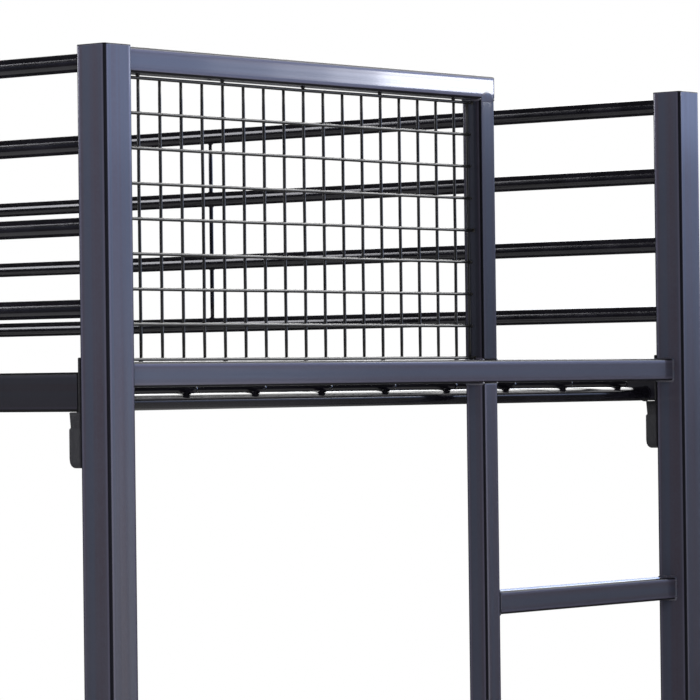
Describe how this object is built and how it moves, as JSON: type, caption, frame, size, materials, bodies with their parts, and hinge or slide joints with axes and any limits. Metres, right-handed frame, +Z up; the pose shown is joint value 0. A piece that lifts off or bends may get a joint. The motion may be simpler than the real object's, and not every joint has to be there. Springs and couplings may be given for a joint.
{
  "type": "bunk bed with ladder",
  "caption": "Steel bunk bed: square-post ends with wire panels, a ladder built into an end, round guard rails on the upper bunk and a rod deck under each mattress.",
  "frame": {"origin": "on the floor, under the middle of the bed", "axes": "+X along the bed towards the ladder end, +Y across it towards the side that the ladder is on, +Z up"},
  "size_m": [1.99, 0.985, 1.65],
  "materials": {
    "frame_paint": "blue-grey powder coat, slightly mottled, satin",
    "side_rail_paint": "dark grey powder coat, satin",
    "guard_paint": "near-black coat with sharp highlights, glossy",
    "wire_paint": "near-black coat on welded round wire, glossy",
    "deck_paint": "dark coat on welded round tube and rod, glossy",
    "bracket_plastic": "black moulded plastic, satin",
    "plug_plastic": "dark grey moulded plastic, matt"
  },
  "bodies": {
    "root": {"post_ladder_front": "frame_paint", "post_cap_ladder_front": "plug_plastic", "foot_ladder_front": "plug_plastic", "post_ladder_back": "frame_paint", "post_cap_ladder_back": "plug_plastic", "foot_ladder_back": "plug_plastic", "post_head_front": "frame_paint", "post_cap_head_front": "plug_plastic", "foot_head_front": "plug_plastic", "post_head_back": "frame_paint", "post_cap_head_back": "plug_plastic", "foot_head_back": "plug_plastic", "ladder_beam_upper": "frame_paint", "ladder_beam_lower": "frame_paint", "head_beam_upper": "frame_paint", "head_beam_lower": "frame_paint", "ladder_top_rail": "frame_paint", "ladder_top_rail_plug": "plug_plastic", "ladder_stile_upper": "frame_paint", "ladder_stile_lower": "frame_paint", "ladder_rung_1": "frame_paint", "ladder_rung_2": "frame_paint", "ladder_rung_3": "frame_paint", "head_top_rail": "frame_paint", "head_lower_rail_1": "frame_paint", "head_lower_rail_2": "frame_paint", "ladder_wire_panel": "wire_paint", "head_wire_panel": "wire_paint", "side_rail_upper_front": "side_rail_paint", "rail_bracket_upper_ladder_front": "bracket_plastic", "rail_bracket_upper_head_front": "bracket_plastic", "side_rail_upper_back": "side_rail_paint", "rail_bracket_upper_ladder_back": "bracket_plastic", "rail_bracket_upper_head_back": "bracket_plastic", "side_rail_lower_front": "side_rail_paint", "rail_bracket_lower_ladder_front": "bracket_plastic", "rail_bracket_lower_head_front": "bracket_plastic", "side_rail_lower_back": "side_rail_paint", "rail_bracket_lower_ladder_back": "bracket_plastic", "rail_bracket_lower_head_back": "bracket_plastic", "guard_rail_front_1": "guard_paint", "guard_rail_front_2": "guard_paint", "guard_rail_front_3": "guard_paint", "guard_rail_front_4": "guard_paint", "guard_tie_front_ladder": "guard_paint", "guard_tie_front_head": "guard_paint", "guard_rail_back_1": "guard_paint", "guard_rail_back_2": "guard_paint", "guard_rail_back_3": "guard_paint", "guard_rail_back_4": "guard_paint", "guard_tie_back_ladder": "guard_paint", "guard_tie_back_head": "guard_paint", "deck_upper": "deck_paint", "deck_lower": "deck_paint"}
  },
  "joints": []
}
